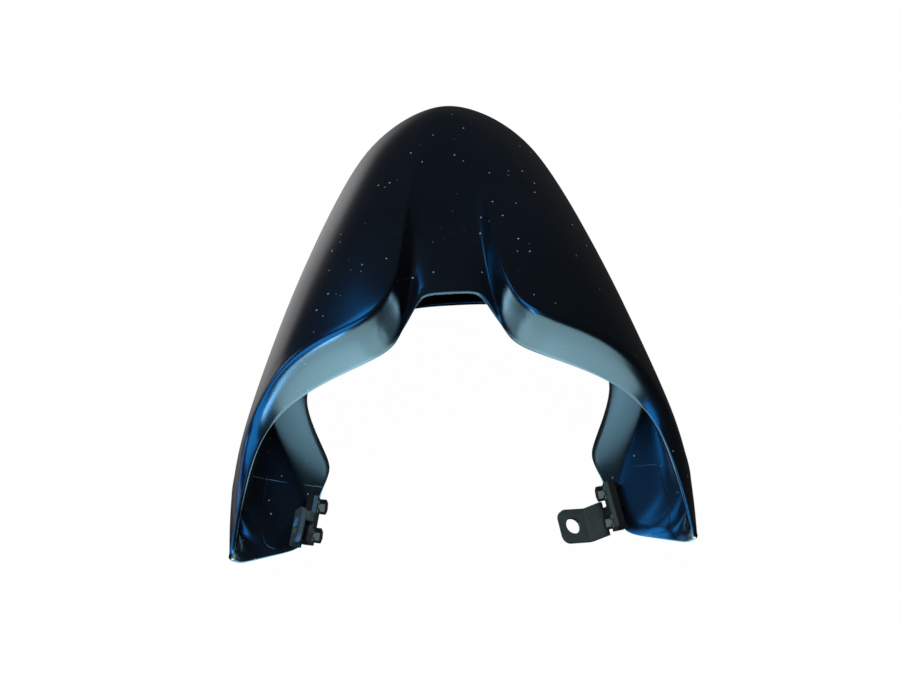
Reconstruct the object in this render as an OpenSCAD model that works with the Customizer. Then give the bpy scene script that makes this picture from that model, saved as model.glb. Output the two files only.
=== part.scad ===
// Single-seat cowl for a motorcycle: one moulded shell that covers the rear half of a dual seat,
// with a steel mounting bracket screwed to a moulded pad at the foot of each wing.
// X is across (right positive), Y runs back from the wing tips to the tail, Z is up.
// The origin is on the ground under the middle of the part.

/* [Cowl shell] */
// Width over the guide lines of the two wings
span = 270; // [240:1:300]
// Length over the guide lines, wing tip to tail
length = 368; // [340:1:400]
// Height of the crest above the ground
height = 132; // [120:1:145]
// Wall of the moulding
wall = 2.8; // [2:0.1:3.6]
// Width of the notch in the front edge
notch_w = 38; // [32:1:46]
// Width of the floor of the sunk channel
channel_w = 38; // [30:1:44]
// Depth of the channel below its two crests
channel_depth = 13; // [8:0.5:16]
// Height of the upright band below the crease, beside the notch
band_h = 37; // [28:1:42]
// Rounding of the crease along the top of the band
crease_round = 7; // [5:0.5:10]
// Rounding of the lower crease, where the side tucks in
tuck_round = 8; // [6:0.5:11]
// Length of the closed underside of the tail
tail_floor_l = 138; // [110:1:150]

/* [Mounting pad] */
// Length of the pad along the foot of the wing
pad_l = 28; // [27:0.5:29]
// Thickness of the pad
pad_t = 4; // [4:0.5:5]
// Height of the pad
pad_h = 11; // [10.5:0.5:13]
// Number of stiffening ribs that lap onto the wing
rib_count = 3; // [2:1:5]
// Thickness of one rib
rib_t = 1.2; // [0.8:0.1:2]

/* [Steel bracket] */
// Thickness of the steel strip
strip_t = 2.5; // [2:0.25:3]
// Width of the strip
strip_w = 21; // [19:0.5:24]
// Width of the tongue between the two screws
tongue_w = 5.5; // [4:0.5:6.5]
// Length of the right web, between its bends
web_l = 16; // [14:0.5:18]
// Length of the left web, between its bends
short_web_l = 11; // [10:0.5:13]
// Length of the drilled tab
tab_l = 19; // [17:0.5:22]
// Diameter of the mounting hole in the tab
hole_d = 10; // [8:0.5:11]
// Slope of the right web, down and inwards
right_web_angle = 34; // [25:1:36]
// Slope of the right tab, up and inwards
right_tab_angle = 23; // [10:1:30]
// Lean of the left tab, back over its web
left_tab_lean = 30; // [15:1:40]

/* [Fasteners] */
// Thread size of the two screws of each bracket
screw_d = 5; // [4:0.5:5]
// Distance between the two screws
screw_pitch = 18; // [17:0.5:18.5]
// Width across the flats of the screw's hexagon
hex_af = 8; // [7:0.5:8]
// Height of the screw's hexagon
hex_h = 3.2; // [2.5:0.1:5]
// Outside diameter of the washer
washer_d = 9.5; // [9:0.5:10]
// Thickness of the washer
washer_t = 0.8; // [0.6:0.1:1.2]
// Outside diameter of the threaded insert
insert_d = 7; // [6.6:0.2:8]

/* [Hidden] */

// Samples of the skin: across from wing to wing, and from the front edge round to the lower rim
columns = 64;
rows = 40;
// Play between a screw and its holes, on the diameter
play = 0.4;
// The pad's turn away from straight back, its slope down to the front, and its seat: how far its
// outer face stands out over the wing's edge, its middle back from the edge's, and its foot above it
pad_turn = 10;
pad_slope = 14;
pad_seat = [1, 2, 4];
// Reach of a pad rib over the wing
rib_lap = 3.5;
// Height of the bracket's bolted flange, and the radius of its bends along the middle of the strip
flange_h = 11;
bend_r = 2.6;
// Fall of the left web outwards over the pad
left_web_fall = 10;
// Offsets of the two webs from the middle of their flange towards the front
right_web_shift = 3.5;
left_web_shift = 9;
// Thickness of the collar under a screw's hexagon
collar_t = 1;
$fn = 48;

shell_colour = "#2b3236";
pad_colour = "#1d2022";
steel_colour = "#35474b";
zinc_colour = "#b9bfc0";
brass_colour = "#b08d4f";

// Guide lines of the right half, from the middle of the part out to the end of the wing.
// Each line has one point on every rib. They are drawn at full size and stretched with the span,
// the length and the height.
drawn_span = 270;
drawn_length = 368;
drawn_height = 132;
notch = notch_w / 2;
floor_half = channel_w / 2;
tail_end = 185;
tail_rim = tail_end - 8 - tail_floor_l;
crest = 129;
sunk = crest - channel_depth;

// Free edge: across the notch, down its side, along the foot of the band, down the wing to its tip
edge_line = [
    [0, -49, 114], [notch * 0.58, -49, 114], [notch, -50, 113], [notch + 7, -60, 106],
    [notch + 13.5, -74.5, 98], [notch + 24.5, -81.5, crest + 3 - band_h], [66, -87, 88], [93.5, -93, 76],
    [114.5, -108, 65], [125.5, -132, 55], [131.5, -160, 46], [135, -178, 38],
];
// Floor of the channel, then the middle of the band
floor_line = [
    [0, 6, sunk + 3], [floor_half * 0.55, 6, sunk + 3], [floor_half, 0, sunk + 2],
    [floor_half + 2.5, -28, sunk], [floor_half + 9, -60.5, sunk - 2], [notch + 22.5, -82.5, crest - 16],
    [66.5, -86, 103], [97, -91.5, 90], [120, -106, 69], [130, -130.5, 53.5], [133.5, -158, 44],
    [135, -177, 35.5],
];
// Crest: the end of the channel, its side, the crease along the band, and down the wing
crest_line = [
    [0, 92, 109], [14, 78, 112], [22, 48, 118], [26, 1.5, 126], [28.5, -43, crest + 2],
    [37.5, -76.5, crest + 3], [65.5, -83.5, 122], [99, -87, 105], [124, -102, 69], [134, -127, 48],
    [137, -155.5, 38.5], [136, -175, 31],
];
// Upper line over the back
top_line = [
    [0, 126, 102], [14, 121, 102], [27.5, 104, 105], [40, 72, 111], [48.5, 32, 120], [59, -8, 124],
    [78, -44, 118], [101, -71, 102], [127, -99, 64], [136, -124, 41], [138.5, -153, 33], [131, -175, 25],
];
// Shoulder, where the back turns down into the side
shoulder_line = [
    [0, 155.5, 84], [14, 154, 83], [33, 144, 82], [52.5, 118, 85], [66.5, 78, 91], [79.5, 34, 97],
    [95, -12, 96], [108, -54, 88], [128, -95, 58], [137, -122, 36], [138.5, -151, 28], [121.5, -169, 19],
];
// Widest line
belt_line = [
    [0, tail_end - 2, 54], [18, tail_end - 8, 54], [39, 161, 55], [60.5, 134, 57], [75.5, 96, 60],
    [89.5, 48, 63], [102, -4, 66], [113, -50, 68], [125, -94, 60], [135.5, -127, 42], [136.5, -154, 34],
    [109, -163, 14],
];
// Foot of the side
low_line = [
    [0, tail_end - 6, 28], [18, tail_end - 12, 28], [38.5, 157, 29], [59.5, 131, 32], [73.5, 93, 36],
    [87.5, 44, 41], [101, -8, 46], [113.5, -52, 50], [123.5, -89, 46], [129, -122, 30], [125.5, -144, 22],
    [98, -157, 9],
];
// Lower crease, where the side tucks in
tuck_line = [
    [0, 163, 3], [18, 157, 3], [37, 145, 4], [53, 120, 6], [66, 84, 13], [81, 36, 22],
    [98, -14, 31], [111, -58, 40], [118, -85, 41], [106, -108, 31], [97, -124, 20], [93.5, -145.3, 11.3],
];
// Lower rim, from the closed underside of the tail to the foot of the wing
rim_line = [
    [0, tail_rim, 0], [14, tail_rim, 0], [28, tail_rim - 1, 0], [42, tail_rim - 5, 1],
    [56, 12, 5], [72.5, -8, 12], [93, -27.5, 16.5], [105, -50, 17], [86, -92, 10], [83, -101, 9],
    [85.5, -114, 11], [88, -131, 14],
];

// Roundings of the two creases at each rib: the crest fades out to the tail and the wing
crest_rounds = [30, 24, 12, 6, crease_round, crease_round, crease_round, crease_round + 2, 14, 14, 10, 6];
tuck_rounds = [10, 10, 10, 10, tuck_round, tuck_round, tuck_round, 5, 3, 3, 3, 3];

function unit(v) = v / norm(v);
function stretch(p) = [p.x * span / drawn_span, p.y * length / drawn_length, p.z * height / drawn_height];
function toward(a, b, d) = a + (b - a) * min(d / norm(b - a), 0.5);
function line_beside(line, other, rounds) =
    [for (i = [0:len(line) - 1]) toward(line[i], other[i], rounds[i])];
function mirrored(p) = [-p.x, p.y, p.z];

// Control lines of the half, in order from the free edge to the lower rim
half_lines = [for (line = [
    edge_line, floor_line,
    line_beside(crest_line, floor_line, crest_rounds), crest_line, line_beside(crest_line, top_line, crest_rounds),
    top_line, shoulder_line, belt_line, low_line,
    line_beside(tuck_line, low_line, tuck_rounds), tuck_line, line_beside(tuck_line, rim_line, tuck_rounds),
    rim_line,
]) [for (p = line) stretch(p)]];

ribs = len(edge_line);
lines = len(half_lines);
last_rib = 2 * ribs - 2;

// Whole net, left wing to right wing: net[rib][line]
net = [for (i = [0:last_rib]) [for (j = [0:lines - 1])
    i < ribs - 1 ? mirrored(half_lines[j][ribs - 1 - i]) : half_lines[j][i - ribs + 1]]];

// The same net moved in by the wall, for the inner face
function net_normal(i, j) = unit(cross(
    net[min(i + 1, last_rib)][j] - net[max(i - 1, 0)][j],
    net[i][min(j + 1, lines - 1)] - net[i][max(j - 1, 0)]));
inner_net = [for (i = [0:last_rib]) [for (j = [0:lines - 1]) net[i][j] - wall * net_normal(i, j)]];

// Cubic B-spline weights of n control points at t, on clamped even knots
degree = 3;
function knot(k, n) = min(max(k - degree, 0), n - degree) / (n - degree);
function share(a, b) = b == 0 ? 0 : a / b;
function weight(k, d, t, n) = d == 0
    ? (knot(k, n) <= t && t < knot(k + 1, n) ? 1 : 0)
    : share(t - knot(k, n), knot(k + d, n) - knot(k, n)) * weight(k, d - 1, t, n)
      + share(knot(k + d + 1, n) - t, knot(k + d + 1, n) - knot(k + 1, n)) * weight(k + 1, d - 1, t, n);
function weights(t, n) = t >= 1
    ? [for (k = [0:n - 1]) k == n - 1 ? 1 : 0]
    : [for (k = [0:n - 1]) weight(k, degree, t, n)];
across = [for (i = [0:columns]) weights(i / columns, last_rib + 1)];
around = [for (j = [0:rows]) weights(j / rows, lines)];

// Points of a skin, column by column
function turned(m) = [for (j = [0:len(m[0]) - 1]) [for (i = [0:len(m) - 1]) m[i][j]]];
function axis_grid(grid, axis) = across * [for (rib = grid) [for (p = rib) p[axis]]] * turned(around);
function skin(grid) = let (x = axis_grid(grid, 0), y = axis_grid(grid, 1), z = axis_grid(grid, 2))
    [for (i = [0:columns]) for (j = [0:rows]) [x[i][j], y[i][j], z[i][j]]];

// Two triangles for each cell between point rows a-b and d-c
function cell(a, b, c, d) = [[a, b, c], [a, c, d]];
stride = rows + 1;
count = (columns + 1) * stride;
function at(i, j) = i * stride + j;

// Walk round the four free edges, closing the wall between the outer and the inner skin
border = concat(
    [for (j = [0:rows - 1]) at(0, j)], [for (i = [0:columns - 1]) at(i, rows)],
    [for (j = [rows:-1:1]) at(columns, j)], [for (i = [columns:-1:1]) at(i, 0)]);

module cowl_shell() {
    outer_faces = [for (i = [0:columns - 1]) for (j = [0:rows - 1])
        each cell(at(i, j), at(i, j + 1), at(i + 1, j + 1), at(i + 1, j))];
    inner_faces = [for (f = outer_faces) [f[0] + count, f[2] + count, f[1] + count]];
    rim_faces = [for (k = [0:len(border) - 1]) let (a = border[k], b = border[(k + 1) % len(border)])
        each cell(b, a, a + count, b + count)];
    color(shell_colour)
        polyhedron(concat(skin(net), skin(inner_net)), concat(outer_faces, inner_faces, rim_faces));
}

// Seat of the mounting pad, over the middle of the straight edge at the wing's foot. A piece there is
// drawn with X outwards, Y rearwards and Z up, from the middle of the pad's outer face.
foot_edge = (net[last_rib][lines - 1] + net[last_rib][lines - 5]) / 2;
foot_back = [-sin(pad_turn) * cos(pad_slope), cos(pad_turn) * cos(pad_slope), sin(pad_slope)];
foot_out = [cos(pad_turn), sin(pad_turn), 0];
foot_up = cross(foot_out, foot_back);
foot_seat = foot_edge + foot_out * pad_seat.x + foot_back * pad_seat.y + foot_up * (pad_seat.z + pad_h / 2);

module at_foot(side) {
    mirror([side < 0 ? 1 : 0, 0, 0])
        multmatrix([for (k = [0:2]) [foot_out[k], foot_back[k], foot_up[k], foot_seat[k]]])
        children();
}

// Screw axes along the foot, and the faces that the pieces share, counted inwards from the wing
screw_places = [-screw_pitch / 2, screw_pitch / 2];
flange_face = -pad_t;
washer_face = flange_face - strip_t;
head_face = washer_face - washer_t;

// A rod of the given length from face_x inwards, on one screw axis
module inward_rod(face_x, rod_l, diameter, sides = $fn) {
    translate([face_x - rod_l, 0, 0]) rotate([0, 90, 0]) cylinder(d = diameter, h = rod_l, $fn = sides);
}

module on_screws() {
    for (y = screw_places) translate([0, y, 0]) children();
}

// A plate of width w along Y, with its outline drawn in X and Z
module upright(w, outline) {
    rotate([90, 0, 0]) translate([0, 0, -w / 2]) linear_extrude(w) polygon(outline);
}

module mount_pad(side) {
    // The ribs stand just clear of the wing
    rib = [[-1, 1 - pad_h / 2], [0, 1 - pad_h / 2], [rib_lap, 2.2 - pad_h / 2], [rib_lap, 3.4 - pad_h / 2],
           [0, pad_h / 2 - 1.5], [-1, pad_h / 2 - 1.5]];
    color(pad_colour) at_foot(side) {
        difference() {
            translate([-pad_t, -pad_l / 2, -pad_h / 2]) cube([pad_t, pad_l, pad_h]);
            on_screws() inward_rod(1, pad_t + 2, insert_d);
        }
        // One rib at the middle and the others out beyond the screws
        for (k = [0:rib_count - 1])
            translate([0, (pad_l - rib_t) * (rib_count < 2 ? 0 : k / (rib_count - 1) - 0.5), 0])
                upright(rib_t, rib);
    }
}

// Side line of a bent strip at distance s to the left of its middle line
function heading(a) = [cos(a), sin(a)];
function left_of(v) = [-v.y, v.x];
function turn_points(b, u, v, s) =
    let (side = sign(cross(u, v)), start = b - u * bend_r * tan(acos(u * v) / 2),
         middle = start + left_of(u) * side * bend_r)
    [for (t = [0:0.125:1]) middle - unit(left_of(u) * (1 - t) + left_of(v) * t) * side * (bend_r - side * s)];
function side_line(points, s) =
    let (last = len(points) - 1, runs = [for (k = [0:last - 1]) unit(points[k + 1] - points[k])])
    concat([points[0] + left_of(runs[0]) * s],
           [for (k = [1:1:last - 1]) each turn_points(points[k], runs[k - 1], runs[k], s)],
           [points[last] + left_of(runs[last - 1]) * s]);
function reversed(list) = [for (k = [len(list) - 1:-1:0]) list[k]];
function strip_outline(points) = concat(side_line(points, strip_t / 2), reversed(side_line(points, -strip_t / 2)));

// Drilled end of the strip, with rounded corners, heading away from the bend at the origin
module tab(angle) {
    corner = strip_w / 4;
    rotate([0, -angle, 0]) translate([0, 0, -strip_t / 2])
    linear_extrude(strip_t) difference() {
        union() {
            translate([tab_l / 3, -strip_w / 2]) square([tab_l * 2 / 3 - corner, strip_w]);
            translate([tab_l / 3, corner - strip_w / 2]) square([tab_l * 2 / 3, strip_w - 2 * corner]);
            for (y = [-1, 1]) translate([tab_l - corner, y * (strip_w / 2 - corner)]) circle(corner);
        }
        translate([tab_l * 0.55, 0]) circle(d = hole_d);
    }
}

// Strip that leaves its flange as a tongue between the screw heads, then widens into the web and
// ends in the drilled tab. The flange's bend lies at height bend_z.
module bracket(side, bend_z, reach, web_angle, tab_angle, shift) {
    middle_x = flange_face - strip_t / 2;
    start = [middle_x, bend_z];
    neck = start + heading(web_angle) * 3.5;
    corner = start + heading(web_angle) * reach;
    color(steel_colour) at_foot(side) {
        difference() {
            translate([washer_face, -pad_l / 2, -flange_h / 2]) cube([strip_t, pad_l, flange_h]);
            on_screws() inward_rod(flange_face + 1, strip_t + 2, screw_d + play);
        }
        upright(tongue_w, strip_outline([[middle_x, 0], start, neck + heading(web_angle)]));
        translate([0, -shift, 0]) {
            difference() {
                upright(strip_w, strip_outline([neck, corner, corner + heading(tab_angle) * tab_l * 0.4]));
                translate([corner.x, 0, corner.y]) rotate([0, 90 - tab_angle, 0])
                    translate([0, 0, tab_l * 0.55]) rotate([0, 90, 0])
                    cylinder(d = hole_d, h = 3 * strip_t, center = true);
            }
            translate([corner.x, 0, corner.y]) tab(tab_angle);
        }
    }
}

module bracket_right() {
    bracket(1, -flange_h / 2 - bend_r, web_l, 180 + right_web_angle, 180 - right_tab_angle, right_web_shift);
}

module bracket_left() {
    // The bend starts level with the top of the pad, which the web passes over
    bend_z = pad_h / 2 + bend_r * tan(45 + left_web_fall / 2);
    bracket(-1, bend_z, short_web_l, -left_web_fall, 90 + left_tab_lean, left_web_shift);
}

// Fasteners: k = 0 is the front screw of a foot, k = 1 the rear one
module at_screw(side, k) {
    at_foot(side) translate([0, screw_places[k], 0]) children();
}

module washer(side, k) {
    color(zinc_colour) at_screw(side, k) difference() {
        inward_rod(washer_face, washer_t, washer_d);
        inward_rod(washer_face + 1, washer_t + 2, screw_d + play);
    }
}

module screw(side, k) {
    color(zinc_colour) at_screw(side, k) {
        inward_rod(head_face, collar_t, hex_af + 1);
        inward_rod(head_face - collar_t, hex_h, hex_af / cos(30), 6);
        inward_rod(0, -head_face, screw_d);
    }
}

module insert(side, k) {
    color(brass_colour) at_screw(side, k) difference() {
        inward_rod(0, pad_t, insert_d);
        inward_rod(1, pad_t + 2, screw_d + play);
    }
}

cowl_shell();
mount_pad(1);  // mount_pad_right
mount_pad(-1);  // mount_pad_left
bracket_right();
bracket_left();
screw(1, 0);  // screw_right_front
screw(1, 1);  // screw_right_rear
screw(-1, 0);  // screw_left_front
screw(-1, 1);  // screw_left_rear
washer(1, 0);  // washer_right_front
washer(1, 1);  // washer_right_rear
washer(-1, 0);  // washer_left_front
washer(-1, 1);  // washer_left_rear
insert(1, 0);  // insert_right_front
insert(1, 1);  // insert_right_rear
insert(-1, 0);  // insert_left_front
insert(-1, 1);  // insert_left_rear
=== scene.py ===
from math import cos, radians, sin

import bmesh
import bpy
import numpy as np
from mathutils import Matrix, Vector


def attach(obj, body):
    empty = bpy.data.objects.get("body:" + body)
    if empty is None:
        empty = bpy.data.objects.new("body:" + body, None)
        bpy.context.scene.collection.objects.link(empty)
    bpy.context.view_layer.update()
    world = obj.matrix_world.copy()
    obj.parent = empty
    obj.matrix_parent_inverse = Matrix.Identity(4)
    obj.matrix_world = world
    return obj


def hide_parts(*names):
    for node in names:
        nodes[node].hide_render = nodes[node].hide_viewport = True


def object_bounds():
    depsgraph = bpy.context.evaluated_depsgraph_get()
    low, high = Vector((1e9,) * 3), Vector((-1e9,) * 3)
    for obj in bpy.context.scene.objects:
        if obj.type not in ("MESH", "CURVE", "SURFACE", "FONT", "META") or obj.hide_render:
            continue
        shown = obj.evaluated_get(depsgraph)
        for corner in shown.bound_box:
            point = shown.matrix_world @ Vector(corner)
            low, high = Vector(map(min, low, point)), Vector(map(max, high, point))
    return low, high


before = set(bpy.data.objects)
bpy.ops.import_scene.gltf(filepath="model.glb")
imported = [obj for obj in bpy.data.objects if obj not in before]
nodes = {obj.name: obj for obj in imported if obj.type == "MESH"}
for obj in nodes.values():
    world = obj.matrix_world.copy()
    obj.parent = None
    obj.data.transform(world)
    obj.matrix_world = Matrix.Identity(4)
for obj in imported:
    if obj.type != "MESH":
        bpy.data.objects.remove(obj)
cadBox = [list(corner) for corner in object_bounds()]
print("stage 1: CAD frame loaded,", len(nodes), "nodes")

mm = 0.001
weld = 1e-6           # m, points nearer than this are one


# Small helpers

def linear(hexColour):
    # an sRGB colour such as "#1f88e0" as the linear RGBA that sockets take
    channels = [int(hexColour[k:k + 2], 16) / 255 for k in (1, 3, 5)]
    return [c / 12.92 if c <= 0.04045 else ((c + 0.055) / 1.055) ** 2.4 for c in channels] + [1.0]


def addNode(tree, kind, settings=None, inputs=None, links=None):
    node = tree.nodes.new(kind)
    for key, value in (settings or {}).items():
        setattr(node, key, value)
    for key, value in (inputs or {}).items():
        node.inputs[key].default_value = value
    for key, socket in (links or {}).items():
        tree.links.new(socket, node.inputs[key])
    return node


def calc(tree, operation, *terms):
    node = addNode(tree, "ShaderNodeMath", {"operation": operation})
    for socket, term in zip(node.inputs, terms):
        if isinstance(term, (int, float)):
            socket.default_value = term
        else:
            tree.links.new(term, socket)
    return node.outputs[0]


def newMaterial(name):
    material = bpy.data.materials.new(name)
    material.use_nodes = True
    tree = material.node_tree
    tree.nodes.clear()
    return material, tree, addNode(tree, "ShaderNodeTexCoord").outputs["Object"]


def noise(tree, place, scale, detail, roughness):
    facts = {"Scale": scale, "Detail": detail, "Roughness": roughness}
    return addNode(tree, "ShaderNodeTexNoise", inputs=facts, links={"Vector": place}).outputs["Fac"]


def blend(tree, first, second, factor):
    return addNode(tree, "ShaderNodeMix", {"data_type": "RGBA"}, {"A": linear(first), "B": linear(second)},
                   {"Factor": factor}).outputs["Result"]


def spread(tree, value, limits):
    return addNode(tree, "ShaderNodeMapRange", inputs=limits, links={"Value": value}).outputs["Result"]


def bumps(tree, height, strength):
    return addNode(tree, "ShaderNodeBump", inputs={"Strength": strength, "Distance": 0.2 * mm},
                   links={"Height": height}).outputs["Normal"]


def plainShader(tree, inputs, links):
    shader = addNode(tree, "ShaderNodeBsdfPrincipled", inputs=inputs, links=links)
    addNode(tree, "ShaderNodeOutputMaterial", links={"Surface": shader.outputs["BSDF"]})


def meshPiece(name, points, faces, material, smooth=True):
    mesh = bpy.data.meshes.new(name)
    mesh.from_pydata([tuple(p) for p in points], [], [tuple(int(k) for k in f) for f in faces])
    mesh.validate()
    mesh.polygons.foreach_set("use_smooth", [smooth] * len(mesh.polygons))
    mesh.materials.append(material)
    piece = bpy.data.objects.new(name, mesh)
    bpy.context.collection.objects.link(piece)
    return piece


# Camera: the photo looks down at the open front from the middle

photoView = {
    "azimuth": 2.07,      # degrees
    "elevation": 50.24,
    "roll": -4.47,
    "distance": 878,      # mm
    "target": (-3.07, -27.4, 45),
    "lens": 54.8,         # mm
    "sensor": 36,         # mm wide
    "clip": (0.05, 20),   # m
    "pixels": (900, 675),
}


def addCamera(view):
    az, el, roll = (radians(view[k]) for k in ("azimuth", "elevation", "roll"))
    back = Vector((sin(az) * cos(el), -cos(az) * cos(el), sin(el)))
    right = (-back).cross(Vector((0, 0, 1))).normalized()
    up = right.cross(-back)
    rolledRight, rolledUp = cos(roll) * right + sin(roll) * up, cos(roll) * up - sin(roll) * right
    turned = Matrix((rolledRight, rolledUp, back)).transposed()
    data = bpy.data.cameras.new("photoCamera")
    data.lens = view["lens"]
    data.sensor_width = view["sensor"]
    data.clip_start, data.clip_end = view["clip"]
    camera = bpy.data.objects.new("photoCamera", data)
    place = (Vector(view["target"]) + back * view["distance"]) * mm
    camera.matrix_world = Matrix.Translation(place) @ turned.to_4x4()
    bpy.context.collection.objects.link(camera)
    bpy.context.scene.camera = camera


addCamera(photoView)
print("stage 2: camera")


# Materials

def cowlPlastic():
    # Black ABS, injection moulded with a fine satin texture: nearly black when it faces the dark,
    # with wide soft reflections and some dust specks
    material, tree, place = newMaterial("satinBlackABS")
    cloud = noise(tree, place, scale=22, detail=3, roughness=0.5)  # patches about 45 mm across
    grain = noise(tree, place, scale=1400, detail=2, roughness=0.6)  # mould texture, 0.7 mm so that it shows
    # dust: cells 7 mm wide, with a speck where the skin passes near a cell's point, some fainter than others
    dust = addNode(tree, "ShaderNodeTexVoronoi", inputs={"Scale": 140, "Randomness": 1},
                   links={"Vector": place})
    speck = spread(tree, dust.outputs["Distance"], {"From Min": 0.095, "From Max": 0.05})
    chance = addNode(tree, "ShaderNodeSeparateColor", links={"Color": dust.outputs["Color"]}).outputs["Red"]
    dusty = calc(tree, "MULTIPLY", speck, spread(tree, chance, {"From Min": 0.35, "From Max": 0.8}))
    body = blend(tree, "#080d12", "#0d141a", cloud)
    colour = addNode(tree, "ShaderNodeMix", {"data_type": "RGBA"}, {"B": linear("#a3afb6")},
                     {"Factor": dusty, "A": body}).outputs["Result"]
    plainShader(tree, {"IOR": 1.52}, {
        "Base Color": colour,
        "Roughness": spread(tree, cloud, {"To Min": 0.22, "To Max": 0.27}),
        "Normal": bumps(tree, grain, strength=0.06)})
    return material


def padPlastic():
    # Glass-filled nylon, moulded: matte black with a faint fibre mottle
    material, tree, place = newMaterial("mouldedNylon")
    mottle = noise(tree, place, scale=900, detail=3, roughness=0.6)  # 1.1 mm
    plainShader(tree, {"Roughness": 0.6, "IOR": 1.53}, {
        "Base Color": blend(tree, "#17181a", "#272829", mottle),
        "Normal": bumps(tree, mottle, strength=0.15)})
    return material


def coatedSteel():
    # Mild steel strip, stamped, bent and powder coated: dark with a green-blue cast, slight orange peel
    material, tree, place = newMaterial("powderCoatedSteel")
    peel = noise(tree, place, scale=700, detail=2, roughness=0.5)  # orange peel, 1.4 mm
    wear = noise(tree, place, scale=160, detail=4, roughness=0.65)  # handling marks, 6 mm
    plainShader(tree, {"IOR": 1.5}, {
        "Base Color": blend(tree, "#36423f", "#4a5755", wear),
        "Roughness": spread(tree, wear, {"To Min": 0.42, "To Max": 0.55}),
        "Normal": bumps(tree, peel, strength=0.12)})
    return material


def zincPlating():
    # Zinc-plated steel, passivated: pale grey metal with a soft blotchy bloom
    material, tree, place = newMaterial("zincPlatedSteel")
    bloom = noise(tree, place, scale=500, detail=4, roughness=0.6)  # 2 mm
    plainShader(tree, {"Metallic": 1.0}, {
        "Base Color": blend(tree, "#6f7676", "#a3a8a4", bloom),
        "Roughness": spread(tree, bloom, {"To Min": 0.38, "To Max": 0.55})})
    return material


def turnedBrass():
    # Brass insert, turned and pressed in: warm yellow metal, with a fine uneven sheen
    material, tree, place = newMaterial("turnedBrass")
    sheen = noise(tree, place, scale=1200, detail=2, roughness=0.5)  # 0.8 mm
    plainShader(tree, {"Base Color": linear("#b58f4e"), "Metallic": 1.0}, {
        "Roughness": spread(tree, sheen, {"To Min": 0.22, "To Max": 0.4})})
    return material


cowlBlack, padBlack, steelCoat = cowlPlastic(), padPlastic(), coatedSteel()
zinc, brass = zincPlating(), turnedBrass()
print("stage 3: materials")


# Cowl shell: the same guide lines as the CAD, read more finely, with a rounded free edge

cowl = {
    "wall": 2.8,          # mm
    "columns": 200,       # across, wing to wing
    "rows": 150,          # from the free edge round to the lower rim
    "rimRows": 5,         # round the cut edge
    "rimBulge": 0.6,      # mm
    # each guide line has one point (mm) on every rib, from the middle to the end of the right wing
    "edge": [(0, -49, 114), (11.02, -49, 114), (19, -50, 113), (26, -60, 106), (32.5, -74.5, 98),
             (43.5, -81.5, 95), (66, -87, 88), (93.5, -93, 76), (114.5, -108, 65), (125.5, -132, 55),
             (131.5, -160, 46), (135, -178, 38)],
    "channel": [(0, 6, 119), (10.45, 6, 119), (19, 0, 118), (21.5, -28, 116), (28, -60.5, 114),
                (41.5, -82.5, 113), (66.5, -86, 103), (97, -91.5, 90), (120, -106, 69),
                (130, -130.5, 53.5), (133.5, -158, 44), (135, -177, 35.5)],
    "crest": [(0, 92, 109), (14, 78, 112), (22, 48, 118), (26, 1.5, 126), (28.5, -43, 131),
              (37.5, -76.5, 132), (65.5, -83.5, 122), (99, -87, 105), (124, -102, 69), (134, -127, 48),
              (137, -155.5, 38.5), (136, -175, 31)],
    "top": [(0, 126, 102), (14, 121, 102), (27.5, 104, 105), (40, 72, 111), (48.5, 32, 120),
            (59, -8, 124), (78, -44, 118), (101, -71, 102), (127, -99, 64), (136, -124, 41),
            (138.5, -153, 33), (131, -175, 25)],
    "shoulder": [(0, 155.5, 84), (14, 154, 83), (33, 144, 82), (52.5, 118, 85), (66.5, 78, 91),
                 (79.5, 34, 97), (95, -12, 96), (108, -54, 88), (128, -95, 58), (137, -122, 36),
                 (138.5, -151, 28), (121.5, -169, 19)],
    "belt": [(0, 183, 54), (18, 177, 54), (39, 161, 55), (60.5, 134, 57), (75.5, 96, 60), (89.5, 48, 63),
             (102, -4, 66), (113, -50, 68), (125, -94, 60), (135.5, -127, 42), (136.5, -154, 34),
             (109, -163, 14)],
    "low": [(0, 179, 28), (18, 173, 28), (38.5, 157, 29), (59.5, 131, 32), (73.5, 93, 36),
            (87.5, 44, 41), (101, -8, 46), (113.5, -52, 50), (123.5, -89, 46), (129, -122, 30),
            (125.5, -144, 22), (98, -157, 9)],
    "tuck": [(0, 163, 3), (18, 157, 3), (37, 145, 4), (53, 120, 6), (66, 84, 13), (81, 36, 22),
             (98, -14, 31), (111, -58, 40), (118, -85, 41), (106, -108, 31), (97, -124, 20),
             (93.5, -145.3, 11.3)],
    "rim": [(0, 39, 0), (14, 39, 0), (28, 38, 0), (42, 34, 1), (56, 12, 5), (72.5, -8, 12),
            (93, -27.5, 16.5), (105, -50, 17), (86, -92, 10), (83, -101, 9), (85.5, -114, 11),
            (88, -131, 14)],
    # how far the creases along the crest and the tuck are rounded, mm at each rib
    "crestRound": (30, 24, 12, 6, 7, 7, 7, 9, 14, 14, 10, 6),
    "tuckRound": (10, 10, 10, 10, 8, 8, 8, 5, 3, 3, 3, 3),
}


def lineBeside(line, other, rounds):
    # a line that far from a crease towards the next line, at most half way
    away = np.linalg.norm(other - line, axis=1)
    return line + (other - line) * np.minimum(np.array(rounds) / away, 0.5)[:, None]


def outerNet(sizes):
    edge, channel, crest, top, shoulder, belt, low, tuck, rim = (
        np.array(sizes[k], float)
        for k in ("edge", "channel", "crest", "top", "shoulder", "belt", "low", "tuck", "rim"))
    half = np.stack([
        edge, channel, lineBeside(crest, channel, sizes["crestRound"]), crest,
        lineBeside(crest, top, sizes["crestRound"]), top, shoulder, belt, low,
        lineBeside(tuck, low, sizes["tuckRound"]), tuck, lineBeside(tuck, rim, sizes["tuckRound"]), rim], 1)
    left = half[:0:-1] * [-1, 1, 1]    # mirrored, without the middle rib
    return np.concatenate([left, half])


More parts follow.
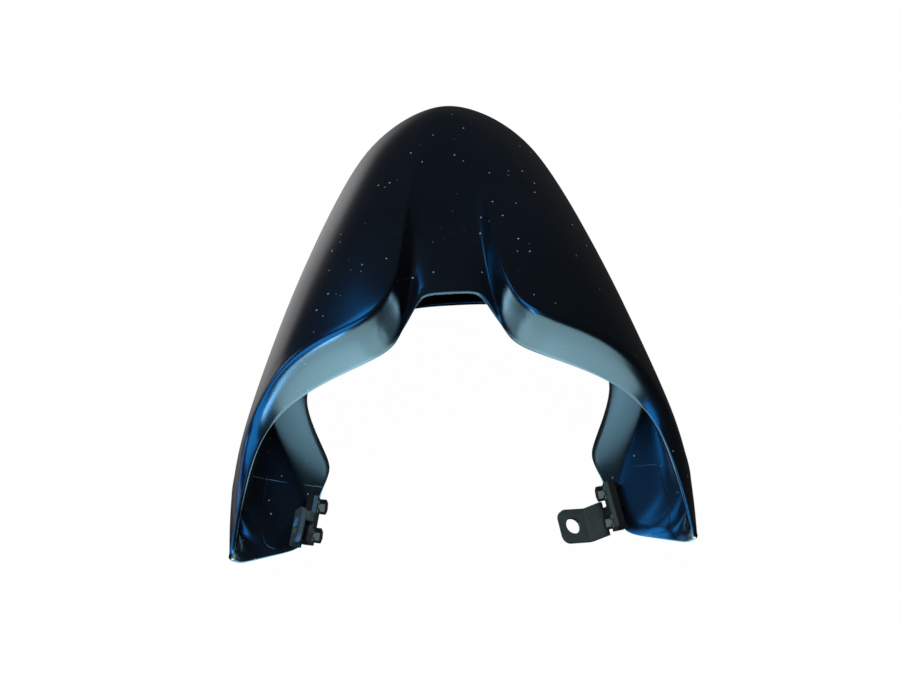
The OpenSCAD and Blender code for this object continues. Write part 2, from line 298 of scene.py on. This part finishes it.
def netInside(net, wall):
    # each point of the net, moved in by the wall along its own normal
    inside = net.copy()
    ribs, lines = net.shape[:2]
    for i in range(ribs):
        for j in range(lines):
            along = net[min(i + 1, ribs - 1), j] - net[max(i - 1, 0), j]
            around = net[i, min(j + 1, lines - 1)] - net[i, max(j - 1, 0)]
            normal = np.cross(along, around)
            inside[i, j] -= wall * normal / np.linalg.norm(normal)
    return inside


def splineWeights(count, places, degree=3):
    # how much each point of a clamped B-spline counts at each place from 0 to 1
    spans = count - degree
    knots = np.array([min(max(k - degree, 0), spans) / spans for k in range(count + degree + 1)])
    places = np.asarray(places, float)
    within = [(knots[k] <= places) & (places < knots[k + 1]) for k in range(count + degree)]
    weights = np.array(within, float).T
    for step in range(1, degree + 1):
        nextWeights = np.zeros((len(places), count + degree - step))
        for k in range(count + degree - step):
            if knots[k + step] > knots[k]:
                nextWeights[:, k] += (places - knots[k]) / (knots[k + step] - knots[k]) * weights[:, k]
            if knots[k + step + 1] > knots[k + 1]:
                nextWeights[:, k] += ((knots[k + step + 1] - places) / (knots[k + step + 1] - knots[k + 1])
                                      * weights[:, k + 1])
        weights = nextWeights
    weights[places >= 1] = 0
    weights[places >= 1, count - 1] = 1
    return weights


def skinPoints(net, us, vs):
    across, around = splineWeights(net.shape[0], us), splineWeights(net.shape[1], vs)
    return np.einsum("ui,ijk,vj->uvk", across, net, around)


def buildCowl(sizes, material):
    net = outerNet(sizes)
    us = np.linspace(0, 1, sizes["columns"] + 1)
    vs = np.linspace(0, 1, sizes["rows"] + 1)
    outer, inner = skinPoints(net, us, vs), skinPoints(netInside(net, sizes["wall"]), us, vs)
    columns, rows = len(us), len(vs)
    index = np.arange(columns * rows).reshape(columns, rows)
    # the outer and the inner skin
    faces = []
    for i in range(columns - 1):
        for j in range(rows - 1):
            a, b, c, d = index[i, j], index[i + 1, j], index[i + 1, j + 1], index[i, j + 1]
            faces.append((a, b, c, d))
            faces.append(tuple(k + columns * rows for k in (d, c, b, a)))
    points = [outer.reshape(-1, 3), inner.reshape(-1, 3)]
    # one walk round the cut edge: each point, and the point next to it further in
    walk = ([(0, j, 1, j) for j in range(rows - 1)]
            + [(i, rows - 1, i, rows - 2) for i in range(columns - 1)]
            + [(columns - 1, j, columns - 2, j) for j in range(rows - 1, 0, -1)]
            + [(i, 0, i, 1) for i in range(columns - 1, 0, -1)])
    # rings from the outer to the inner skin make the cut edge round
    used = 2 * columns * rows
    rings = [[index[i, j] for i, j, _, _ in walk]]
    out = np.array([outer[i, j] - outer[m, n] for i, j, m, n in walk])
    out /= np.linalg.norm(out, axis=1)[:, None]
    first = np.array([outer[i, j] for i, j, _, _ in walk])
    last = np.array([inner[i, j] for i, j, _, _ in walk])
    for step in range(1, sizes["rimRows"] + 1):
        angle = np.pi * step / (sizes["rimRows"] + 1)
        ring = (first + last) / 2 + (first - last) / 2 * cos(angle) + out * sizes["rimBulge"] * sin(angle)
        points.append(ring)
        rings.append(list(range(used, used + len(walk))))
        used += len(walk)
    rings.append([index[i, j] + columns * rows for i, j, _, _ in walk])
    for ringA, ringB in zip(rings, rings[1:]):
        for k in range(len(walk)):
            following = (k + 1) % len(walk)
            faces.append((ringA[k], ringA[following], ringB[following], ringB[k]))
    return meshPiece("cowlSkin", np.concatenate(points) * mm, faces, material)


cowlSkin = buildCowl(cowl, cowlBlack)
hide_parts("cowl_shell")
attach(cowlSkin, "root")
print("stage 4: cowl shell")


# Pads and brackets: the CAD shapes with broken edges

brokenEdges = {
    "joined": 1,          # degrees, faces that turn less than this are made one first
    "sharp": 40,          # degrees, edges that turn more than this are broken
    "rows": 2,            # across each broken edge
}
softened = {
    # node: material, slot, width of the broken edge in mm
    "mount_pad_right": (padBlack, "pad_plastic", 0.35),
    "mount_pad_left": (padBlack, "pad_plastic", 0.35),
    "bracket_right": (steelCoat, "coated_steel", 0.3),
    "bracket_left": (steelCoat, "coated_steel", 0.3),
}


def softenEdges(nodeName, material, width):
    # a copy of the CAD node without its inner edges, and with a narrow bevel on the sharp ones
    mesh = nodes[nodeName].data.copy()
    work = bmesh.new()
    work.from_mesh(mesh)
    bmesh.ops.remove_doubles(work, verts=work.verts, dist=weld)
    bmesh.ops.dissolve_limit(work, angle_limit=radians(brokenEdges["joined"]), verts=work.verts,
                             edges=work.edges)
    work.to_mesh(mesh)
    work.free()
    mesh.materials.clear()
    mesh.materials.append(material)
    piece = bpy.data.objects.new(nodeName + "_broken_edges", mesh)
    bpy.context.collection.objects.link(piece)
    bevel = piece.modifiers.new("brokenEdges", "BEVEL")
    bevel.width = width * mm
    bevel.segments = brokenEdges["rows"]
    bevel.limit_method = "ANGLE"
    bevel.angle_limit = radians(brokenEdges["sharp"])
    return piece


softPieces = {}
for nodeName, (material, slotName, width) in softened.items():
    piece = softPieces[nodeName] = softenEdges(nodeName, material, width)
    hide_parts(nodeName)
    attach(piece, "root")
# the inserts stay as the CAD has them
for nodeName, node in nodes.items():
    if nodeName.startswith("insert"):
        node.data.materials.clear()
        node.data.materials.append(brass)
print("stage 5: pads and brackets")


# What repeats is made by Geometry Nodes and then kept as a plain mesh

def namedTree(name, sizes):
    # a tree with one input named for each size
    tree = bpy.data.node_groups.new(name, "GeometryNodeTree")
    tree.interface.new_socket("Geometry", in_out="INPUT", socket_type="NodeSocketGeometry")
    for sizeName, value in sizes.items():
        kind = "NodeSocketInt" if isinstance(value, int) else "NodeSocketFloat"
        tree.interface.new_socket(sizeName, in_out="INPUT", socket_type=kind)
    tree.interface.new_socket("Material", in_out="INPUT", socket_type="NodeSocketMaterial")
    tree.interface.new_socket("Geometry", in_out="OUTPUT", socket_type="NodeSocketGeometry")
    return tree, tree.nodes.new("NodeGroupInput").outputs


def endTree(tree, made, material):
    real = addNode(tree, "GeometryNodeRealizeInstances", links={"Geometry": made}).outputs[0]
    painted = addNode(tree, "GeometryNodeSetMaterial", links={"Geometry": real, "Material": material})
    addNode(tree, "NodeGroupOutput", links={0: painted.outputs[0]})


def circle(tree, radius, corners):
    return addNode(tree, "GeometryNodeCurvePrimitiveCircle", inputs={"Resolution": corners},
                   links={"Radius": radius}).outputs["Curve"]


def tubeAlong(tree, line, section):
    return addNode(tree, "GeometryNodeCurveToMesh", inputs={"Fill Caps": True},
                   links={"Curve": line, "Profile Curve": section}).outputs[0]


def plainMesh(name, tree, points, edges, vectors, sizes, material):
    # runs the tree on a mesh of the points, each with its axis if vectors are given, and keeps what it makes
    carrier = bpy.data.meshes.new(name + "Carrier")
    carrier.from_pydata([tuple(p) for p in points], edges, [])
    if vectors is not None:
        axes = carrier.attributes.new("axis", "FLOAT_VECTOR", "POINT")
        axes.data.foreach_set("vector", np.ravel(vectors))
    holder = bpy.data.objects.new(name + "Carrier", carrier)
    bpy.context.collection.objects.link(holder)
    modifier = holder.modifiers.new(name, "NODES")
    modifier.node_group = tree
    sockets = {item.name: item.identifier for item in tree.interface.items_tree if item.in_out == "INPUT"}
    for sizeName, value in sizes.items():
        modifier[sockets[sizeName]] = value
    modifier[sockets["Material"]] = material
    graph = bpy.context.evaluated_depsgraph_get()
    mesh = bpy.data.meshes.new_from_object(holder.evaluated_get(graph))
    mesh.name = name
    bpy.data.objects.remove(holder)
    piece = bpy.data.objects.new(name, mesh)
    bpy.context.collection.objects.link(piece)
    return piece


# Screws and washers, two on the inner side of each foot
foot = {
    "turn": 10,           # degrees away from straight back
    "slope": 14,          # degrees down to the front
    "seat": (1, 2, 9.5),  # mm out, back and up from the middle of the wing's foot
    "pitch": 18,          # mm between the two screws
}
bolt = {
    # mm, but for the number of teeth; each is an input of the tree. The grip ends under the washer.
    "Across Flats": 8.0, "Hex Height": 3.2, "Chamfer": 0.4,
    "Collar Diameter": 9.0, "Collar Height": 1.0,
    "Washer Diameter": 9.5, "Washer Height": 0.8, "Washer Hole": 5.4,
    "Washer Teeth": 30, "Tooth Depth": 0.35,
    "Thread Diameter": 5.0, "Thread Pitch": 0.8, "Grip": 6.5,
}
boltShares = {
    "chamferTop": 0.86,   # of the hexagon's width
    "threadRidge": 0.45,  # of the pitch
}
# corners of each round shape
boltSides = {"head": 6, "collar": 40, "hole": 40, "core": 24, "helixTurn": 24, "ridge": 6}


def footFrame(side):
    # the screws' direction, the foot's direction and its seat, as the CAD has them; side is 1 or -1
    turn, slope = radians(foot["turn"]), radians(foot["slope"])
    back = np.array([-sin(turn) * cos(slope), cos(turn) * cos(slope), sin(slope)])
    out = np.array([cos(turn), sin(turn), 0])
    up = np.cross(out, back)
    edge = (np.array(cowl["rim"][-1]) + np.array(cowl["low"][-1])) / 2
    seat = edge + np.array([out, back, up]).T @ np.array(foot["seat"], float)
    mirror = np.array([side, 1, 1])
    return [v * mirror for v in (out, back, seat)]


def boltTree():
    tree, size = namedTree("boltAndWasher", bolt)

    def halved(value):
        return calc(tree, "DIVIDE", value, 2.0)

    def lifted(shape, height):
        place = addNode(tree, "ShaderNodeCombineXYZ", links={"Z": height}).outputs[0]
        moved = addNode(tree, "GeometryNodeTransform", links={"Geometry": shape, "Translation": place})
        return moved.outputs[0]

    def joined(*shapes):
        join = addNode(tree, "GeometryNodeJoinGeometry")
        for shape in shapes:
            tree.links.new(shape, join.inputs[0])
        return join.outputs[0]

    def rod(diameter, height, start, sides):
        made = addNode(tree, "GeometryNodeMeshCylinder", {"fill_type": "NGON"}, {"Vertices": sides},
                       {"Radius": halved(diameter), "Depth": height})
        return lifted(made.outputs["Mesh"], calc(tree, "ADD", start, halved(height))), made.outputs["Top"]

    washerTop = calc(tree, "ADD", size["Grip"], size["Washer Height"])
    collarTop = calc(tree, "ADD", washerTop, size["Collar Height"])
    collar, _ = rod(size["Collar Diameter"], size["Collar Height"], washerTop, boltSides["collar"])
    # the head: a hexagon with a chamfered top, sized across its corners
    corners = calc(tree, "DIVIDE", size["Across Flats"], cos(np.pi / boltSides["head"]))
    straight = calc(tree, "SUBTRACT", size["Hex Height"], size["Chamfer"])
    hexagon, top = rod(corners, straight, collarTop, boltSides["head"])
    raised = addNode(tree, "GeometryNodeExtrudeMesh", {"mode": "FACES"},
                     links={"Mesh": hexagon, "Selection": top, "Offset Scale": size["Chamfer"]})
    head = addNode(tree, "GeometryNodeScaleElements", inputs={"Scale": boltShares["chamferTop"]},
                   links={"Geometry": raised.outputs["Mesh"], "Selection": raised.outputs["Top"]})
    # the washer: a serrated ring
    tip = halved(size["Washer Diameter"])
    star = addNode(tree, "GeometryNodeCurveStar", links={
        "Points": size["Washer Teeth"], "Outer Radius": tip,
        "Inner Radius": calc(tree, "SUBTRACT", tip, size["Tooth Depth"])}).outputs["Curve"]
    outlines = joined(circle(tree, halved(size["Washer Hole"]), boltSides["hole"]), star)
    plate = addNode(tree, "GeometryNodeFillCurve", links={"Curve": outlines}).outputs[0]
    thick = addNode(tree, "GeometryNodeExtrudeMesh", {"mode": "FACES"}, {"Individual": False},
                    {"Mesh": plate, "Offset Scale": size["Washer Height"]}).outputs["Mesh"]
    under = addNode(tree, "GeometryNodeFlipFaces", links={"Mesh": plate}).outputs[0]
    ring = addNode(tree, "GeometryNodeMergeByDistance", inputs={"Distance": weld},
                   links={"Geometry": joined(under, thick)}).outputs[0]
    washer = lifted(ring, size["Grip"])
    # the thread: a core with a helical ridge
    ridge = calc(tree, "MULTIPLY", size["Thread Pitch"], boltShares["threadRidge"])
    root = calc(tree, "SUBTRACT", size["Thread Diameter"], calc(tree, "MULTIPLY", ridge, 2.0))
    core, _ = rod(root, washerTop, 0.0, boltSides["core"])
    run = calc(tree, "SUBTRACT", washerTop, calc(tree, "MULTIPLY", ridge, 2.0))
    middle = calc(tree, "SUBTRACT", halved(size["Thread Diameter"]), ridge)
    helix = addNode(tree, "GeometryNodeCurveSpiral", inputs={"Resolution": boltSides["helixTurn"]}, links={
        "Rotations": calc(tree, "DIVIDE", run, size["Thread Pitch"]), "Height": run,
        "Start Radius": middle, "End Radius": middle}).outputs["Curve"]
    thread = tubeAlong(tree, helix, circle(tree, ridge, boltSides["ridge"]))
    whole = joined(lifted(thread, ridge), core, washer, collar, head.outputs[0])
    axis = addNode(tree, "GeometryNodeInputNamedAttribute", {"data_type": "FLOAT_VECTOR"},
                   {"Name": "axis"}).outputs["Attribute"]
    facing = addNode(tree, "FunctionNodeAlignRotationToVector", {"axis": "Z"}, links={"Vector": axis})
    placed = addNode(tree, "GeometryNodeInstanceOnPoints", links={
        "Points": size["Geometry"], "Instance": whole, "Rotation": facing.outputs[0]}).outputs[0]
    endTree(tree, placed, size["Material"])
    return tree


def addBolts():
    places, axes = [], []
    for side in (1, -1):
        out, back, seat = footFrame(side)
        for step in (-0.5, 0.5):
            places.append((seat + back * step * foot["pitch"]) * mm)
            axes.append(-out)
    sizes = {k: v if isinstance(v, int) else v * mm for k, v in bolt.items()}
    return plainMesh("screwsAndWashers", boltTree(), places, [], axes, sizes, zinc)


bolts = addBolts()
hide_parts(*[name for name in nodes if name.startswith(("screw", "washer"))])
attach(bolts, "root")
print("stage 6: screws and washers")


# Witness lines of the mould, on the inner side of each wing, as the photo shows them
witness = {
    # mm, the second one between rings; each is an input of the tree
    "sizes": {"Ridge Height": 0.3, "Spacing": 1.5},
    "sides": 8,           # of each ring
    # pixels of the camera's frame, taken down to the plastic behind them
    "lines": {
        "leftAcross": [(252, 476), (267, 479), (285, 482), (305, 485), (322, 487)],
        "leftDown": [(267, 480), (264, 495), (262, 515), (262, 530), (264, 540), (268, 546), (275, 549)],
        "rightAcross": [(636, 466), (646, 465), (657, 464)],
        "rightDown": [(657, 464), (662, 482), (667, 500), (669, 515), (669, 523), (667, 530), (661, 533),
                      (652, 534)],
    },
}


def onPlastic(pixels, skin):
    camera = bpy.context.scene.camera
    bpy.context.view_layer.update()
    turned, eye = camera.matrix_world.to_3x3(), camera.matrix_world.translation
    wide, high = photoView["pixels"]
    focal = photoView["lens"] / photoView["sensor"] * wide
    found = []
    for x, y in pixels:
        ray = (turned @ Vector((x - wide / 2, high / 2 - y, -focal))).normalized()
        hit, place, _, _ = skin.ray_cast(eye, ray)
        if hit:
            found.append(place)
    return found


def ridgeTree():
    tree, size = namedTree("witnessRidge", witness["sizes"])
    line = addNode(tree, "GeometryNodeMeshToCurve", links={"Mesh": size["Geometry"]}).outputs[0]
    soft = addNode(tree, "GeometryNodeCurveSplineType", {"spline_type": "CATMULL_ROM"},
                   links={"Curve": line}).outputs[0]
    even = addNode(tree, "GeometryNodeResampleCurve", {"mode": "LENGTH"},
                   links={"Curve": soft, "Length": size["Spacing"]}).outputs[0]
    section = circle(tree, size["Ridge Height"], witness["sides"])
    endTree(tree, tubeAlong(tree, even, section), size["Material"])
    return tree


def addWitnessLines():
    points, edges = [], []
    for pixels in witness["lines"].values():
        found = onPlastic(pixels, cowlSkin)
        edges += [(len(points) + k, len(points) + k + 1) for k in range(len(found) - 1)]
        points += found
    sizes = {k: v * mm for k, v in witness["sizes"].items()}
    return plainMesh("witnessLines", ridgeTree(), points, edges, None, sizes, cowlBlack)


witnessLines = addWitnessLines()
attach(witnessLines, "root")
print("stage 7: witness lines")


# Floor, lamps and world

# One neutral key lamp and the world light the part. The cards stand for the coloured surroundings that
# the photo shows mirrored in the gloss: they light nothing matte, and the key lamp isn't mirrored.
# The first five are the teal floor in the band, the notch and the wings' flanges, the next four are the
# blue to the left, and the last one gives the screws and brackets something to mirror.
keyLamp = {
    "place": (-0.15, 0.25, 1.05), "aim": (0, -0.03, 0), "size": (0.6, 0.6),  # m
    "watts": 10, "colour": "#f4f6fa",
}
cards = {
    # name: place and aim in metres, width and height in metres, watts, colour, the pieces that mirror it
    "frontFloor": ((0, -0.3, 0.006), (0, -0.298, 0.3), (0.28, 0.4), 2.4, "#a8dcee", "cowl"),
    "frontFloorLeft": ((-0.1, -0.6, 0.006), (-0.1, -0.598, 0.3), (0.16, 0.2), 0.7, "#a8dcee", "cowl"),
    "hollow": ((0, -0.02, 0.028), (0, -0.3, 0.028), (0.17, 0.056), 0.12, "#90c8e4", "cowl"),
    "underLeft": ((-0.058, -0.075, 0.05), (-0.058, -0.073, 0.2), (0.056, 0.21), 0.1, "#a0d8f0", "cowl"),
    "underRight": ((0.059, -0.075, 0.05), (0.059, -0.073, 0.2), (0.056, 0.2), 0.035, "#a0d8f0", "cowl"),
    "leftSky": ((-0.26, -0.345, 0.31), (-0.12, -0.12, 0.07), (0.46, 0.4), 6.8, "#1f88e0", "cowl, left tab"),
    "leftBack": ((-0.362, 0.176, 0.56), (0.125, -0.165, 0.025), (0.22, 0.22), 1.9, "#1f88e0", "cowl"),
    "leftWall": ((-0.95, 0.12, 0.27), (-0.13, -0.16, 0.04), (0.35, 0.3), 2.6, "#5a8fd8", "cowl"),
    "leftFront": ((-0.088, -0.25, 0.09), (-0.11, -0.1, 0.08), (0.04, 0.06), 0.25, "#72c0ff", "cowl"),
    "overFasteners": ((0, -0.5, 0.5), (0, -0.15, 0.02), (0.5, 0.4), 1.3, "#cfe4ea", "fasteners"),
}
mirroring = {
    "cowl": [cowlSkin, witnessLines],
    "cowl, left tab": [cowlSkin, witnessLines, softPieces["bracket_left"]],
    "fasteners": [bolts, softPieces["bracket_left"], softPieces["bracket_right"]],
}


def addLamp(name, place, aim, size, watts, colour):
    data = bpy.data.lights.new(name, "AREA")
    data.shape = "RECTANGLE"
    data.size, data.size_y = size
    data.energy = watts
    data.color = linear(colour)[:3]
    lamp = bpy.data.objects.new(name, data)
    lamp.location = place
    lamp.rotation_euler = (Vector(aim) - Vector(place)).to_track_quat("-Z", "Y").to_euler()
    lamp.visible_camera = False
    bpy.context.collection.objects.link(lamp)
    return lamp


addLamp("keyLamp", **keyLamp).visible_glossy = False
for name, (*cardFacts, who) in cards.items():
    card = addLamp(name, *cardFacts)
    card.visible_diffuse = False
    shown = bpy.data.collections.new(name + "Mirrored")
    for piece in mirroring[who]:
        shown.objects.link(piece)
    card.light_linking.receiver_collection = shown


paper = {
    "colour": "#f4f4f2",
    "half": 6,                      # m from the middle to each side
    "drop": 0.2,                    # mm below the part
    "white": 0.99,                  # share of plain white to the camera, the rest keeps the shadow
    # mirrored in the gloss, the paper is a pool of light to the left
    "poolMiddle": (-0.42, 0.2, 0),  # m
    "poolEdge": (0.24, 0.44),       # m from its middle, where it starts to fade and where it has faded
    "poolLight": (0.85, 0.04),      # inside and outside
}


def paleFloor(sizes):
    # Matte white paper: white to the camera, with the object's shadow kept; to glossy rays it glows instead,
    # with a painted pool of light to the left
    material, tree, place = newMaterial("whitePaper")
    path = addNode(tree, "ShaderNodeLightPath").outputs
    mirrored = calc(tree, "MAXIMUM", path["Is Glossy Ray"], path["Is Transmission Ray"])
    # painted pool of light: the glow seen in the gloss is strongest near poolMiddle and fades out beyond
    # poolEdge
    away = addNode(tree, "ShaderNodeVectorMath", {"operation": "DISTANCE"}, {1: sizes["poolMiddle"]},
                   {0: place}).outputs["Value"]
    (near, far), (inside, outside) = sizes["poolEdge"], sizes["poolLight"]
    pool = addNode(tree, "ShaderNodeMapRange", {"interpolation_type": "SMOOTHSTEP"},
                   {"From Min": near, "From Max": far, "To Min": inside, "To Max": outside},
                   {"Value": away}).outputs["Result"]
    seen = path["Is Camera Ray"]
    strength = calc(tree, "MAXIMUM", seen, pool)
    share = calc(tree, "MAXIMUM", calc(tree, "MULTIPLY", seen, sizes["white"]), mirrored)
    matte = addNode(tree, "ShaderNodeBsdfDiffuse", inputs={"Color": linear(sizes["colour"])}).outputs[0]
    glow = addNode(tree, "ShaderNodeEmission", inputs={"Color": linear("#ffffff")},
                   links={"Strength": strength}).outputs[0]
    mixed = addNode(tree, "ShaderNodeMixShader", links={0: share, 1: matte, 2: glow})
    addNode(tree, "ShaderNodeOutputMaterial", links={"Surface": mixed.outputs[0]})
    half = sizes["half"]
    corners = [(-half, -half, 0), (half, -half, 0), (half, half, 0), (-half, half, 0)]
    floor = meshPiece("paleFloor", corners, [(0, 1, 2, 3)], material, smooth=False)
    floor.location.z = cadBox[0][2] - sizes["drop"] * mm


paleFloor(paper)
room = {"colour": "#4c515c", "strength": 0.45}
world = bpy.data.worlds.new("studio")
world.use_nodes = True
background = world.node_tree.nodes["Background"].inputs
background["Color"].default_value = linear(room["colour"])
background["Strength"].default_value = room["strength"]
bpy.context.scene.world = world
bpy.context.scene.view_settings.view_transform = "Standard"
print("stage 8: floor and lamps")
